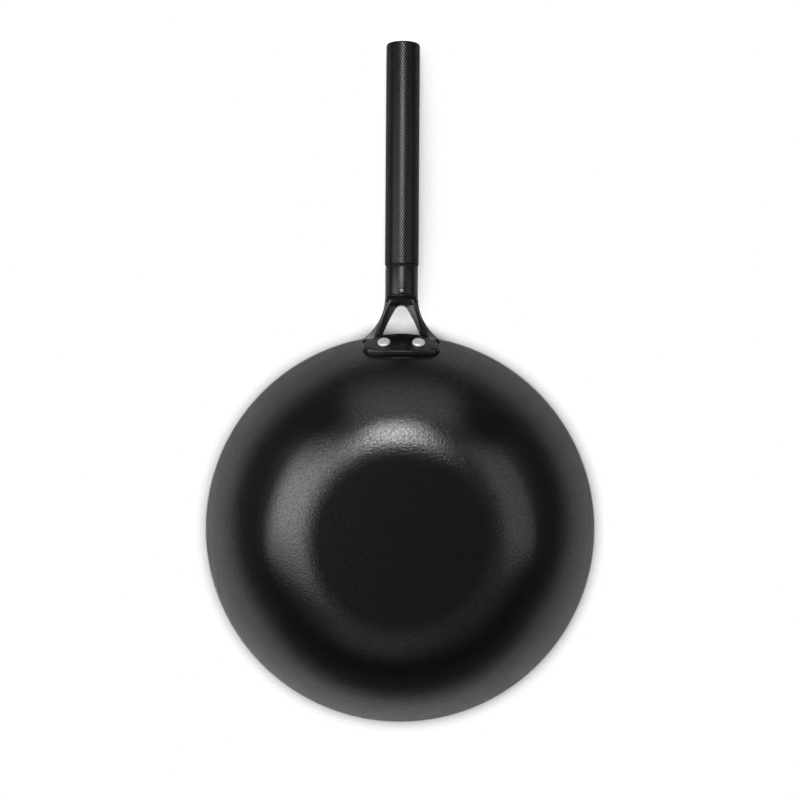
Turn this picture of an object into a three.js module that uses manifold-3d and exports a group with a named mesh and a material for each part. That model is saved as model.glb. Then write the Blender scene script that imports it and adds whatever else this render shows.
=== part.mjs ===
// A wok: a pressed steel bowl, a cast bracket riveted to the outside of its wall, and a bar handle.
// Millimetres, +Z up. The origin is the centre of the flat base, on the surface that the wok stands
// on. The handle points along +Y and rises a little on its way out.

import * as THREE from 'three';
import { mergeVertices } from 'three/addons/utils/BufferGeometryUtils.js';
import Module from 'manifold-3d';

const wasm = await Module();
wasm.setup();

const DEGREE = Math.PI / 180;

// Gap between pieces that seat on each other
const SEAT_GAP = 0.3;

// Bowl, measured on its outside
const RIM_DIAMETER = 300;
const BASE_DIAMETER = 118;
const BOWL_HEIGHT = 70;
const WALL = 1.5;
const SHOULDER_RADIUS = 70; // curve from the flat base into the wall
const SHOULDER_SLOPE = 38 * DEGREE; // slope where the shoulder curve hands over to the wall's

// Line of the handle, set from the rim above the bracket
const HANDLE_DROP = 6; // from the rim down to the handle's axis
const HANDLE_RISE = 5.3 * DEGREE;

// Bracket foot: an oval plate that follows the wall
const PLATE_WIDTH = 59.4;
const PLATE_THICKNESS = 3.8;
const PLATE_BELOW_RIM = 2.8;
const PLATE_MARGIN = 6.7; // plate left below the rivet heads
const PLATE_FULLNESS = 0.58; // 0.55 gives an ellipse, more gives squarer ends
const PLATE_DRAFT = 1.2; // how far its edge slopes in from the wall to its face

// Bracket yoke: two straight legs that meet in a round neck, and a web that flares out along their top
const YOKE_LENGTH = 26.2; // from the rim to the neck
const YOKE_FOOT = 3.5; // the web's width at its foot is measured this far inside the rim
const LEG_THICKNESS = 10.6;
const LEG_DROP = 5; // how much thinner the legs have become at the rim, on their underside
const LEG_NECK_WIDTH = 20.4; // over both legs, at the neck
const LEG_FOOT_WIDTH = 40.4; // the same at the rim
const WEB_THICKNESS = 4.4;
const WEB_FOOT_WIDTH = 59;
const WEB_BEND = 9.5; // the outline bends about this distance from the rim
const WEB_SPREAD = 1.5; // and has spread this far from the neck there
const WEB_CHAMFER = 0.5;
const NECK_LENGTH = 3.7;
const NECK_LIP = 0.7; // straight end of the neck
const NECK_OVERLAP = 1; // how far the neck and the yoke run into each other

// Window between the legs
const WINDOW_WIDTH = 28.6; // at the rim
const WINDOW_LENGTH = 22.9;
const WINDOW_TIP_RADIUS = 5.3;
const WINDOW_LEAN = 31 * DEGREE; // lean of the sides where they leave the round tip
const SCOOP_WIDTH = 3.2; // hollowed edge of the window, on the underside
const SCOOP_DEPTH = 1.8;

// Rivets through the plate and the wall
const RIVET_SPACING = 25.5;
const RIVET_SHANK = 5;
const RIVET_HEAD = 9.5;
const RIVET_SIDE = 1.3; // straight edge of a head
const RIVET_DOME = 0.9; // rise of its face over that edge
const RIVET_INNER_HEAD = 11;
const RIVET_INNER_RISE = 1.6;
const RIVET_CLEARANCE = 1.2; // between a head and the line of the legs' underside

// Collar between the bracket and the grip
const COLLAR_DIAMETER = 25;
const COLLAR_LENGTH = 21.4;
const COLLAR_BORE = 16;
const COLLAR_EDGE = 0.3; // chamfer
const STUB_LENGTH = 12; // reduced end that centres the grip
const PIN_DIAMETER = 3.4;
const PIN_FROM_EDGE = 2.5;
const PIN_PROUD = 0.1; // how far its ends stand out of the collar
const PIN_EDGE = 0.2; // chamfer

// Grip
const WASHER_THICKNESS = 0.8;
const WASHER_STEP = 0.3; // the washer's edge lies this far inside the collar's
const GRIP_DIAMETER = 25.8;
const GRIP_BORE = 20;
const GRIP_LENGTH = 170.8;
const GRIP_EDGE = 0.5; // chamfer of its two ends
const PLUG_SEAT_DIAMETER = 22;
const PLUG_LENGTH = 9;
const PLUG_SINK = 0.6; // the plug's face lies this far inside the grip's end

// Tie bolt that clamps grip, washer and collar to the bracket
const BOLT_DIAMETER = 6;
const BOLT_HEAD_DIAMETER = 10;
const BOLT_HEAD_HEIGHT = 5;
const BOLT_SOCKET_WIDTH = 5; // across flats
const BOLT_SOCKET_DEPTH = 3;
const BOLT_GRIP_IN_SPIGOT = 13;

// Facets
const BOWL_SIDES = 96;
const ROUND_SIDES = 48;
const SMALL_SIDES = 24;
const SHOULDER_STEPS = 6;
const WALL_STEPS = 5;
const DOME_STEPS = 4;
const CURVE_STEPS = 8;
const MERGE_DISTANCE = 1e-4;

// Bowl section: flat base, shoulder arc, wall arc. An arc's angle is the slope of the surface there.
const rimRadius = RIM_DIAMETER / 2;
const baseRadius = BASE_DIAMETER / 2;
const wallRun = rimRadius - baseRadius - SHOULDER_RADIUS * Math.sin(SHOULDER_SLOPE);
const wallRise = BOWL_HEIGHT - SHOULDER_RADIUS * (1 - Math.cos(SHOULDER_SLOPE));
const rimSlope = 2 * Math.atan2(wallRise, wallRun) - SHOULDER_SLOPE;
const wallRadius = wallRun / (Math.sin(rimSlope) - Math.sin(SHOULDER_SLOPE));
const shoulderCentre = new THREE.Vector2(baseRadius, SHOULDER_RADIUS);
const wallCentre = new THREE.Vector2(
  rimRadius - wallRadius * Math.sin(rimSlope),
  BOWL_HEIGHT + wallRadius * Math.cos(rimSlope),
);

// Handle frame: its Y axis is the handle's axis, and its origin lies below the rim's edge
const handleFrame = new THREE.Matrix4()
  .makeTranslation(0, rimRadius, BOWL_HEIGHT - HANDLE_DROP)
  .multiply(new THREE.Matrix4().makeRotationX(HANDLE_RISE));

// Places along the handle's axis
const collarStart = YOKE_LENGTH + NECK_LENGTH + SEAT_GAP;
const collarEnd = collarStart + COLLAR_LENGTH;
const washerStart = collarEnd + SEAT_GAP;
const gripStart = washerStart + WASHER_THICKNESS + SEAT_GAP;
const gripEnd = gripStart + GRIP_LENGTH;
const plugStart = gripEnd - PLUG_SINK - PLUG_LENGTH;
const plugEnd = plugStart + PLUG_LENGTH;
const boltHeadStart = plugEnd - BOLT_HEAD_HEIGHT;
const spigotEnd = collarEnd - SEAT_GAP;
const boltTip = spigotEnd - BOLT_GRIP_IN_SPIGOT;
const pinPlace = collarStart + PIN_FROM_EDGE;

// How far the drawings of the bracket run inside the rim, where the bowl cuts them off
const insideReach = YOKE_FOOT + PLATE_WIDTH / 2;

// Where the line of the legs' underside meets the outer face of the plate, as a slope of the wall's arc
const plateFaceRadius = wallRadius + SEAT_GAP + PLATE_THICKNESS;
const axisToWallCentre =
  (wallCentre.y - BOWL_HEIGHT + HANDLE_DROP) * Math.cos(HANDLE_RISE) -
  (wallCentre.x - rimRadius) * Math.sin(HANDLE_RISE);
const legSlope = HANDLE_RISE + Math.acos((axisToWallCentre + LEG_THICKNESS / 2) / plateFaceRadius);
const rivetSlope = legSlope - (RIVET_CLEARANCE + RIVET_HEAD / 2) / plateFaceRadius;
const plateTopSlope = rimSlope - PLATE_BELOW_RIM / wallRadius;
const plateFootSlope = rivetSlope - (RIVET_HEAD / 2 + PLATE_MARGIN) / plateFaceRadius;
const rivetFoot = wallPoint(rivetSlope);
const rivetTurn = Math.asin(RIVET_SPACING / 2 / rivetFoot.x);

// Materials
const blackCoating = new THREE.MeshStandardMaterial({ color: 0x1b1b1d, roughness: 0.5, metalness: 0.2 });
const blackCasting = new THREE.MeshStandardMaterial({ color: 0x161617, roughness: 0.35, metalness: 0.3 });
const blackAnodised = new THREE.MeshStandardMaterial({ color: 0x232325, roughness: 0.45, metalness: 0.6 });
const blackFibre = new THREE.MeshStandardMaterial({ color: 0x0d0d0d, roughness: 0.8, metalness: 0 });
const brightSteel = new THREE.MeshStandardMaterial({ color: 0xc4c4c6, roughness: 0.35, metalness: 1 });

// Outside point of the bowl's wall where its slope has this value
function wallPoint(slope) {
  return arc(wallCentre, wallRadius, slope, slope, 0)[0];
}

// Points of a section's arc between two slopes
function arc(centre, radius, from, to, steps) {
  const points = [];
  for (let i = 0; i <= steps; i++) {
    const slope = steps ? from + ((to - from) * i) / steps : from;
    const x = centre.x + radius * Math.sin(slope);
    const y = centre.y - radius * Math.cos(slope);
    points.push(new THREE.Vector2(x, y));
  }
  return points;
}

// The bowl's section from the axis to the rim, moved outwards by offset
function bowlSection(offset) {
  return [
    new THREE.Vector2(0, -offset),
    ...arc(shoulderCentre, SHOULDER_RADIUS + offset, 0, SHOULDER_SLOPE, SHOULDER_STEPS),
    ...arc(wallCentre, wallRadius + offset, SHOULDER_SLOPE, rimSlope, WALL_STEPS).slice(1),
  ];
}

// A turned piece whose axis is +Y, from [radius, place] pairs
function turned(pairs, sides) {
  const points = pairs.map(([radius, place]) => new THREE.Vector2(radius, place));
  return new THREE.LatheGeometry(points, sides);
}

// The same, for a ring whose section closes on itself
function turnedRing(pairs, sides) {
  return turned([...pairs, pairs[0]], sides);
}

// A closed geometry as a solid for cutting and joining
function toSolid(geometry, matrix = new THREE.Matrix4()) {
  const loose = geometry.index ? geometry.toNonIndexed() : geometry;
  const bare = new THREE.BufferGeometry();
  bare.setAttribute('position', loose.getAttribute('position').clone());
  bare.applyMatrix4(matrix);
  const merged = mergeVertices(bare, MERGE_DISTANCE);
  const corners = merged.index.array;
  const kept = [];
  for (let i = 0; i < corners.length; i += 3) {
    const [a, b, c] = corners.slice(i, i + 3);
    if (a !== b && b !== c && c !== a) kept.push(a, b, c);
  }
  return new wasm.Manifold(
    new wasm.Mesh({
      numProp: 3,
      vertProperties: merged.getAttribute('position').array,
      triVerts: new Uint32Array(kept),
    }),
  );
}

// A solid back as a geometry
function toGeometry(solid) {
  const { vertProperties, triVerts } = solid.getMesh();
  const geometry = new THREE.BufferGeometry();
  geometry.setAttribute('position', new THREE.BufferAttribute(vertProperties, 3));
  geometry.setIndex(new THREE.BufferAttribute(triVerts, 1));
  geometry.computeVertexNormals();
  return geometry;
}

function piece(name, geometry, material) {
  const mesh = new THREE.Mesh(geometry, material);
  mesh.name = name;
  return mesh;
}

// A rivet's frame: its Y axis points out of the wall, and its origin lies on the wall's outside
function rivetFrame(side) {
  return new THREE.Matrix4()
    .makeRotationZ(-side * rivetTurn)
    .multiply(new THREE.Matrix4().makeTranslation(0, rivetFoot.x, rivetFoot.y))
    .multiply(new THREE.Matrix4().makeRotationX(rivetSlope - Math.PI / 2));
}

// Both rivet holes, through the wall and the plate
function rivetHoles() {
  const reach = WALL + PLATE_THICKNESS + RIVET_HEAD;
  const drill = new THREE.CylinderGeometry(
    RIVET_SHANK / 2 + SEAT_GAP,
    RIVET_SHANK / 2 + SEAT_GAP,
    2 * reach,
    SMALL_SIDES,
  );
  return toSolid(drill, rivetFrame(-1)).add(toSolid(drill, rivetFrame(1)));
}

function bowl() {
  const section = [...bowlSection(0), ...bowlSection(-WALL).reverse()];
  const shell = new THREE.LatheGeometry(section, BOWL_SIDES).rotateX(Math.PI / 2);
  return piece('bowl', toGeometry(toSolid(shell).subtract(rivetHoles())), blackCoating);
}

// The space that the bowl fills, with a gap around it, closed above the rim
function bowlSpace() {
  const section = bowlSection(SEAT_GAP);
  const edge = section.at(-1);
  const lid = BOWL_HEIGHT + LEG_THICKNESS;
  section.push(new THREE.Vector2(edge.x, lid), new THREE.Vector2(0, lid));
  return toSolid(new THREE.LatheGeometry(section, BOWL_SIDES).rotateX(Math.PI / 2));
}

// Oval foot plate: the part of a shell round the wall that lies inside an oval block. The block has a
// drafted edge that starts at the wall and runs on past the plate's face.
function footPlate() {
  const inner = wallRadius + SEAT_GAP;
  const outer = plateFaceRadius;
  const ring = [
    ...arc(wallCentre, inner, SHOULDER_SLOPE, rimSlope, WALL_STEPS),
    ...arc(wallCentre, outer, rimSlope, SHOULDER_SLOPE, WALL_STEPS),
  ];
  ring.push(ring[0]);
  const shell = new THREE.LatheGeometry(ring.reverse(), BOWL_SIDES).rotateX(Math.PI / 2);

  const middleSlope = (plateTopSlope + plateFootSlope) / 2;
  const halfHeight = ((plateTopSlope - plateFootSlope) / 2) * wallRadius;
  const oval = ovalOutline(PLATE_WIDTH / 2, halfHeight);
  const prism = new THREE.ExtrudeGeometry(oval, {
    depth: PLATE_WIDTH / 2,
    bevelThickness: 2 * (SEAT_GAP + PLATE_THICKNESS),
    bevelSize: 2 * PLATE_DRAFT,
    bevelOffset: -2 * PLATE_DRAFT,
    bevelSegments: 1,
    curveSegments: SMALL_SIDES,
  });
  const middle = wallPoint(middleSlope);
  const place = new THREE.Matrix4()
    .makeTranslation(0, middle.x, middle.y)
    .multiply(new THREE.Matrix4().makeRotationX(middleSlope));
  return toSolid(shell).intersect(toSolid(prism, place));
}

// An oval: four curves between its ends, its top and its bottom
function ovalOutline(halfWidth, halfHeight) {
  const pullX = PLATE_FULLNESS * halfWidth;
  const pullY = PLATE_FULLNESS * halfHeight;
  const shape = new THREE.Shape();
  shape.moveTo(halfWidth, 0);
  shape.bezierCurveTo(halfWidth, pullY, pullX, halfHeight, 0, halfHeight);
  shape.bezierCurveTo(-pullX, halfHeight, -halfWidth, pullY, -halfWidth, 0);
  shape.bezierCurveTo(-halfWidth, -pullY, -pullX, -halfHeight, 0, -halfHeight);
  shape.bezierCurveTo(pullX, -halfHeight, halfWidth, -pullY, halfWidth, 0);
  return shape;
}

// Outline of both legs together, straight from the neck to the rim
function legOutline() {
  const neck = LEG_NECK_WIDTH / 2;
  const foot = LEG_FOOT_WIDTH / 2;
  const end = YOKE_LENGTH + NECK_OVERLAP;
  const shape = new THREE.Shape();
  shape.moveTo(neck, end);
  shape.lineTo(-neck, end);
  shape.lineTo(-neck, YOKE_LENGTH);
  shape.lineTo(-foot, 0);
  shape.lineTo(-foot, -insideReach);
  shape.lineTo(foot, -insideReach);
  shape.lineTo(foot, 0);
  shape.lineTo(neck, YOKE_LENGTH);
  return shape;
}

// Outline of the web, flared from the neck to its foot
function webOutline() {
  const neck = COLLAR_DIAMETER / 2;
  const foot = WEB_FOOT_WIDTH / 2;
  const waist = neck + WEB_SPREAD;
  const end = YOKE_LENGTH + NECK_OVERLAP;
  const shape = new THREE.Shape();
  shape.moveTo(neck, end);
  shape.lineTo(-neck, end);
  shape.lineTo(-neck, YOKE_LENGTH);
  shape.quadraticCurveTo(-waist, WEB_BEND, -foot, -YOKE_FOOT);
  shape.lineTo(-foot, -insideReach);
  shape.lineTo(foot, -insideReach);
  shape.lineTo(foot, -YOKE_FOOT);
  shape.quadraticCurveTo(waist, WEB_BEND, neck, YOKE_LENGTH);
  return shape;
}

// A prism across the handle, from a side view drawn as (place along the axis, height)
function sidePrism(sideView) {
  const prism = new THREE.ExtrudeGeometry(sideView, {
    depth: 2 * PLATE_WIDTH,
    bevelEnabled: false,
    curveSegments: CURVE_STEPS,
  }).translate(0, 0, -PLATE_WIDTH);
  const across = new THREE.Matrix4().makeBasis(
    new THREE.Vector3(0, 1, 0),
    new THREE.Vector3(0, 0, 1),
    new THREE.Vector3(1, 0, 0),
  );
  return toSolid(prism, handleFrame.clone().multiply(across));
}

// Legs: straight seen from above, and thinner towards the rim in a curve on their underside
function legs() {
  const half = LEG_THICKNESS / 2;
  const end = YOKE_LENGTH + NECK_OVERLAP;
  const insideWeb = half - WEB_THICKNESS / 2;
  const sideView = new THREE.Shape();
  sideView.moveTo(end, -half);
  sideView.lineTo(end, insideWeb);
  sideView.lineTo(-insideReach, insideWeb);
  sideView.lineTo(-insideReach, LEG_DROP - half);
  sideView.lineTo(0, LEG_DROP - half);
  sideView.quadraticCurveTo(YOKE_LENGTH / 2, -half, YOKE_LENGTH, -half);
  const block = new THREE.ExtrudeGeometry(legOutline(), {
    depth: 2 * LEG_THICKNESS,
    bevelEnabled: false,
  }).translate(0, 0, -LEG_THICKNESS);
  return toSolid(block, handleFrame).intersect(sidePrism(sideView));
}

// Web along the top of the legs
function web() {
  const layer = new THREE.ExtrudeGeometry(webOutline(), {
    depth: WEB_THICKNESS - 2 * WEB_CHAMFER,
    bevelThickness: WEB_CHAMFER,
    bevelSize: WEB_CHAMFER,
    bevelOffset: -WEB_CHAMFER,
    bevelSegments: 1,
    curveSegments: CURVE_STEPS,
  }).translate(0, 0, LEG_THICKNESS / 2 - WEB_THICKNESS + WEB_CHAMFER);
  return toSolid(layer, handleFrame);
}

// Outline of the window: a round tip and sides that grow steeper towards the foot
function windowOutline() {
  const tip = WINDOW_LENGTH - WINDOW_TIP_RADIUS;
  const half = WINDOW_WIDTH / 2;
  const startX = WINDOW_TIP_RADIUS * Math.cos(WINDOW_LEAN);
  const startY = tip + WINDOW_TIP_RADIUS * Math.sin(WINDOW_LEAN);
  const pullY = startY / 2;
  const pullX = startX + pullY * Math.tan(WINDOW_LEAN);
  const shape = new THREE.Shape();
  shape.moveTo(-half, -insideReach);
  shape.lineTo(half, -insideReach);
  shape.lineTo(half, 0);
  shape.quadraticCurveTo(pullX, pullY, startX, startY);
  shape.absarc(0, tip, WINDOW_TIP_RADIUS, WINDOW_LEAN, Math.PI - WINDOW_LEAN, false);
  shape.quadraticCurveTo(-pullX, pullY, -half, 0);
  shape.lineTo(-half, -insideReach);
  return shape;
}

// Cutter for the window: straight through, with a scooped edge on the underside
function windowCutter() {
  const through = new THREE.ExtrudeGeometry(windowOutline(), {
    depth: 2 * LEG_THICKNESS,
    bevelEnabled: false,
    curveSegments: CURVE_STEPS,
  }).translate(0, 0, -LEG_THICKNESS);
  const scoop = new THREE.ExtrudeGeometry(windowOutline(), {
    depth: LEG_THICKNESS,
    bevelThickness: SCOOP_DEPTH,
    bevelSize: SCOOP_WIDTH,
    bevelSegments: 1,
    curveSegments: CURVE_STEPS,
  }).translate(0, 0, LEG_THICKNESS / 2);
  const turnedOver = new THREE.Matrix4().makeRotationY(Math.PI);
  return toSolid(through, handleFrame).add(toSolid(scoop, handleFrame.clone().multiply(turnedOver)));
}

// Round neck, sloped down to the legs above and below, and the spigot that fills the collar's bore
function neck() {
  const radius = COLLAR_DIAMETER / 2;
  const start = YOKE_LENGTH - NECK_OVERLAP;
  const end = YOKE_LENGTH + NECK_LENGTH;
  const spigotRadius = COLLAR_BORE / 2 - SEAT_GAP;
  const round = turned(
    [
      [0, start],
      [radius, start],
      [radius, end],
      [spigotRadius, end],
      [spigotRadius, spigotEnd],
      [0, spigotEnd],
    ],
    ROUND_SIDES,
  );
  const grade = (radius - LEG_THICKNESS / 2) / (NECK_LENGTH - NECK_LIP);
  const tip = YOKE_LENGTH - LEG_THICKNESS / 2 / grade;
  const back = spigotEnd + SEAT_GAP;
  const sideView = new THREE.Shape();
  sideView.moveTo(tip, 0);
  sideView.lineTo(back, (tip - back) * grade);
  sideView.lineTo(back, (back - tip) * grade);
  return toSolid(round, handleFrame).intersect(sidePrism(sideView));
}

// Cross hole for the pin, in the handle frame
function pinHole() {
  const radius = PIN_DIAMETER / 2 + SEAT_GAP;
  return new THREE.CylinderGeometry(radius, radius, 2 * COLLAR_DIAMETER, SMALL_SIDES)
    .rotateX(Math.PI / 2)
    .translate(0, pinPlace, 0);
}

// Tapped hole for the tie bolt, in the handle frame
function boltHole() {
  const radius = BOLT_DIAMETER / 2 + SEAT_GAP;
  const depth = spigotEnd - boltTip + SEAT_GAP;
  return new THREE.CylinderGeometry(radius, radius, 2 * depth, SMALL_SIDES).translate(0, spigotEnd, 0);
}

function bracket() {
  const casting = legs()
    .add(web())
    .subtract(windowCutter())
    .add(neck())
    .add(footPlate())
    .subtract(bowlSpace())
    .subtract(rivetHoles())
    .subtract(toSolid(pinHole(), handleFrame))
    .subtract(toSolid(boltHole(), handleFrame));
  return piece('bracket', toGeometry(casting), blackCasting);
}

// Low domed head on the plate, shank, and a lower one inside the bowl
function rivet(name, side) {
  const innerFace = -WALL - SEAT_GAP;
  const outerFace = PLATE_THICKNESS + 2 * SEAT_GAP;
  const shank = RIVET_SHANK / 2;
  const cap = (radius, rise) => (radius * radius + rise * rise) / (2 * rise);
  const domeRadius = cap(RIVET_HEAD / 2, RIVET_DOME);
  const lowRadius = cap(RIVET_INNER_HEAD / 2, RIVET_INNER_RISE);
  const profile = [];
  for (let i = 0; i <= DOME_STEPS; i++) {
    const angle = (Math.asin(RIVET_INNER_HEAD / 2 / lowRadius) * i) / DOME_STEPS;
    const place = innerFace - RIVET_INNER_RISE + lowRadius * (1 - Math.cos(angle));
    profile.push([lowRadius * Math.sin(angle), place]);
  }
  profile.push([shank, innerFace], [shank, outerFace], [RIVET_HEAD / 2, outerFace]);
  for (let i = DOME_STEPS; i >= 0; i--) {
    const angle = (Math.asin(RIVET_HEAD / 2 / domeRadius) * i) / DOME_STEPS;
    const place = outerFace + RIVET_SIDE + RIVET_DOME - domeRadius * (1 - Math.cos(angle));
    profile.push([domeRadius * Math.sin(angle), place]);
  }
  const mesh = piece(name, turned(profile, SMALL_SIDES), brightSteel);
  mesh.applyMatrix4(rivetFrame(side));
  return mesh;
}

function collar() {
  const outer = COLLAR_DIAMETER / 2;
  const bore = COLLAR_BORE / 2;
  const stub = GRIP_BORE / 2 - SEAT_GAP;
  const sleeve = turnedRing(
    [
      [bore, collarStart],
      [outer - COLLAR_EDGE, collarStart],
      [outer, collarStart + COLLAR_EDGE],
      [outer, collarEnd - COLLAR_EDGE],
      [outer - COLLAR_EDGE, collarEnd],
      [stub, collarEnd],
      [stub, collarEnd + STUB_LENGTH],
      [bore, collarEnd + STUB_LENGTH],
    ],
    ROUND_SIDES,
  );
  return piece('collar', toGeometry(toSolid(sleeve).subtract(toSolid(pinHole()))), blackCasting);
}

// Cross pin, driven through the collar and the spigot
function collarPin() {
  const radius = PIN_DIAMETER / 2;
  const half = COLLAR_DIAMETER / 2 + PIN_PROUD;
  const pin = turned(
    [
      [0, -half],
      [radius - PIN_EDGE, -half],
      [radius, PIN_EDGE - half],
      [radius, half - PIN_EDGE],
      [radius - PIN_EDGE, half],
      [0, half],
    ],
    SMALL_SIDES,
  );
  const mesh = piece('collar_pin', pin.rotateX(Math.PI / 2), blackCasting);
  mesh.position.y = pinPlace;
  return mesh;
}

// Thin washer that keeps the collar's heat from the grip and shows as a dark line
function heatWasher() {
  const outer = COLLAR_DIAMETER / 2 - WASHER_STEP;
  const bore = GRIP_BORE / 2;
  const ring = turnedRing(
    [
      [bore, washerStart],
      [outer, washerStart],
      [outer, washerStart + WASHER_THICKNESS],
      [bore, washerStart + WASHER_THICKNESS],
    ],
    ROUND_SIDES,
  );
  return piece('heat_washer', ring, blackFibre);
}

// Tube with a seat for the plug at its far end
function gripTube() {
  const outer = GRIP_DIAMETER / 2;
  const bore = GRIP_BORE / 2;
  const seat = PLUG_SEAT_DIAMETER / 2;
  const tube = turnedRing(
    [
      [bore, gripStart],
      [outer - GRIP_EDGE, gripStart],
      [outer, gripStart + GRIP_EDGE],
      [outer, gripEnd - GRIP_EDGE],
      [outer - GRIP_EDGE, gripEnd],
      [seat, gripEnd],
      [seat, plugStart - SEAT_GAP],
      [bore, plugStart - SEAT_GAP],
    ],
    ROUND_SIDES,
  );
  return piece('grip_tube', tube, blackAnodised);
}

// Plug that the bolt pulls onto its seat in the tube
function endPlug() {
  const outer = PLUG_SEAT_DIAMETER / 2 - SEAT_GAP;
  const hole = BOLT_DIAMETER / 2 + SEAT_GAP;
  const recess = BOLT_HEAD_DIAMETER / 2 + SEAT_GAP;
  const plug = turnedRing(
    [
      [hole, plugStart],
      [outer, plugStart],
      [outer, plugEnd - COLLAR_EDGE],
      [outer - COLLAR_EDGE, plugEnd],
      [recess, plugEnd],
      [recess, boltHeadStart - SEAT_GAP],
      [hole, boltHeadStart - SEAT_GAP],
    ],
    ROUND_SIDES,
  );
  return piece('end_plug', plug, blackAnodised);
}

// Socket-head bolt from the plug to the bracket's spigot
function tieBolt() {
  const shank = BOLT_DIAMETER / 2;
  const head = BOLT_HEAD_DIAMETER / 2;
  const body = turned(
    [
      [0, boltTip],
      [shank, boltTip],
      [shank, boltHeadStart],
      [head, boltHeadStart],
      [head, plugEnd],
      [0, plugEnd],
    ],
    SMALL_SIDES,
  );
  const corner = BOLT_SOCKET_WIDTH / Math.sqrt(3);
  const drill = new THREE.CylinderGeometry(corner, corner, 2 * BOLT_SOCKET_DEPTH, 6);
  const socket = drill.translate(0, plugEnd, 0);
  return piece('tie_bolt', toGeometry(toSolid(body).subtract(toSolid(socket))), brightSteel);
}

const handle = new THREE.Group();
handle.applyMatrix4(handleFrame);
handle.add(collar(), collarPin(), heatWasher(), gripTube(), endPlug(), tieBolt());

const wok = new THREE.Group();
wok.add(bowl(), bracket(), rivet('rivet_left', -1), rivet('rivet_right', 1), handle);

export default wok;
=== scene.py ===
"""A black steel wok with a riveted bracket, a pinned collar and a knurled bar handle.

Pieces are drawn in millimetres in the row frame and scaled to metres when they become objects.
The wok stands upright on z = 0 with its handle along +Y. The camera looks at its underside.
"""

import math

import bmesh
import bpy
from mathutils import Matrix, Vector


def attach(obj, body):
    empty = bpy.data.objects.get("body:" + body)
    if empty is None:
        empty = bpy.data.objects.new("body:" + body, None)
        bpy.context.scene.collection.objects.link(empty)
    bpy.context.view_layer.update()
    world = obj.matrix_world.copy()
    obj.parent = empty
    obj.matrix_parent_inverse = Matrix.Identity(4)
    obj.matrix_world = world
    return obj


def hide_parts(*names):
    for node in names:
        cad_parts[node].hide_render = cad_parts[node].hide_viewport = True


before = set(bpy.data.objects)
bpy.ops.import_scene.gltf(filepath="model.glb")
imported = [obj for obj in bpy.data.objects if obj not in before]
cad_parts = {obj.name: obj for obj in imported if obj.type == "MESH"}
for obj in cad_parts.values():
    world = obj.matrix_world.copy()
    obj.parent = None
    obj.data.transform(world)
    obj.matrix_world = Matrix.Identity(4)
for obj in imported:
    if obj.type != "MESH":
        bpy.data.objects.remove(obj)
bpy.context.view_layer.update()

MM = 0.001
DEGREE = math.pi / 180

# Points of a turned or a cut piece that are closer than this are one point, in millimetres
TURNED_MERGE = 0.0001
CUT_MERGE = 0.001

# Bowl, measured on its outside
RIM_RADIUS = 150
BASE_RADIUS = 59
BOWL_HEIGHT = 70
WALL = 1.5
SHOULDER_RADIUS = 70
SHOULDER_SLOPE = 38 * DEGREE
RIM_ROUND = 0.4
SHOULDER_STEPS = 40
WALL_STEPS = 30
BOWL_STEPS = 240

# Line of the handle, set from the rim above the bracket
HANDLE_DROP = 6
HANDLE_RISE = 5.3 * DEGREE
SEAT_GAP = 0.3

# Bracket
PLATE_WIDTH = 59.4
PLATE_THICKNESS = 3.8
PLATE_TOP = 2.8
PLATE_FOOT = 27.9
PLATE_SQUARENESS = 2.15
PLATE_DRAFT = 1.2
PLATE_STEPS = 96
PLATE_CUTS = 14
YOKE_LENGTH = 26.2
YOKE_ROOT = 12
LEG_THICKNESS = 10.6
LEG_DROP = 5
LEG_LAP = 0.5
LEG_IN_NECK = 2
LEG_STEPS = 14
TIP_STEPS = 10
WEB_THICKNESS = 4.4
CREST_INNER = (16.7, 7.9)
CREST_OUTER = (19.4, 9.4)
CREST_FALL = 0.8
CREST_LEAST = 0.1
EDGE_WIDTH = (12.7, 14.0, 29.5)
EDGE_PLACE = (26.2, 9.5, -3.5)
EDGE_CHAMFER = 0.5
NECK_START = 0.5
NECK_LENGTH = 3.7
NECK_LIP = 0.7
NECK_RADIUS = 12.5
NECK_FLAT = 5.0
NECK_STEPS = 64
WINDOW_WIDTH = 28.6
WINDOW_LENGTH = 22.9
WINDOW_TIP_RADIUS = 5.3
WINDOW_LEAN = 31 * DEGREE
SCOOP_DEPTH = 1.8
SCOOP_LEAST = 0.1
CASTING_ROUND = 0.3

# Rivets
RIVET_DOWN = 16.7
RIVET_SPACING = 25.5
RIVET_SHANK = 2.5
RIVET_HEAD = 4.75
RIVET_FACE = 4.2
RIVET_SIDE = 1.3
RIVET_SHOULDER = 0.75
RIVET_RISE = 2.2
RIVET_INNER_HEAD = 5.5
RIVET_INNER_RISE = 1.6
RIVET_ROUND = 0.2

# Collar, washer and grip, as places along the handle's axis
COLLAR_START = 30.2
COLLAR_END = 51.6
COLLAR_RADIUS = 12.5
COLLAR_BORE = 8
COLLAR_EDGE = 0.3
STUB_RADIUS = 9.7
STUB_END = 63.6
PIN_PLACE = 32.7
PIN_RADIUS = 1.7
PIN_CROWN = 0.05
PIN_STEPS = 32
SINK_DEPTH = 0.4
SINK_WIDTH = 0.5
SINK_PAST = 0.1
WASHER_START = 51.9
WASHER_END = 52.7
WASHER_RADIUS = 12.2
GRIP_START = 53
GRIP_END = 223.8
GRIP_RADIUS = 12.9
GRIP_BORE = 10
GRIP_EDGE = 0.5
PLUG_SEAT = 11
PLUG_START = 214.2
PLUG_END = 223.2
PLUG_ROUND = 0.4
BOLT_TIP = 38.3
BOLT_RADIUS = 3
BOLT_HEAD = 5
BOLT_HEAD_START = 218.2
SOCKET_WIDTH = 5
SOCKET_DEPTH = 3
TURNED_STEPS = 96
SMALL_STEPS = 48

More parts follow.
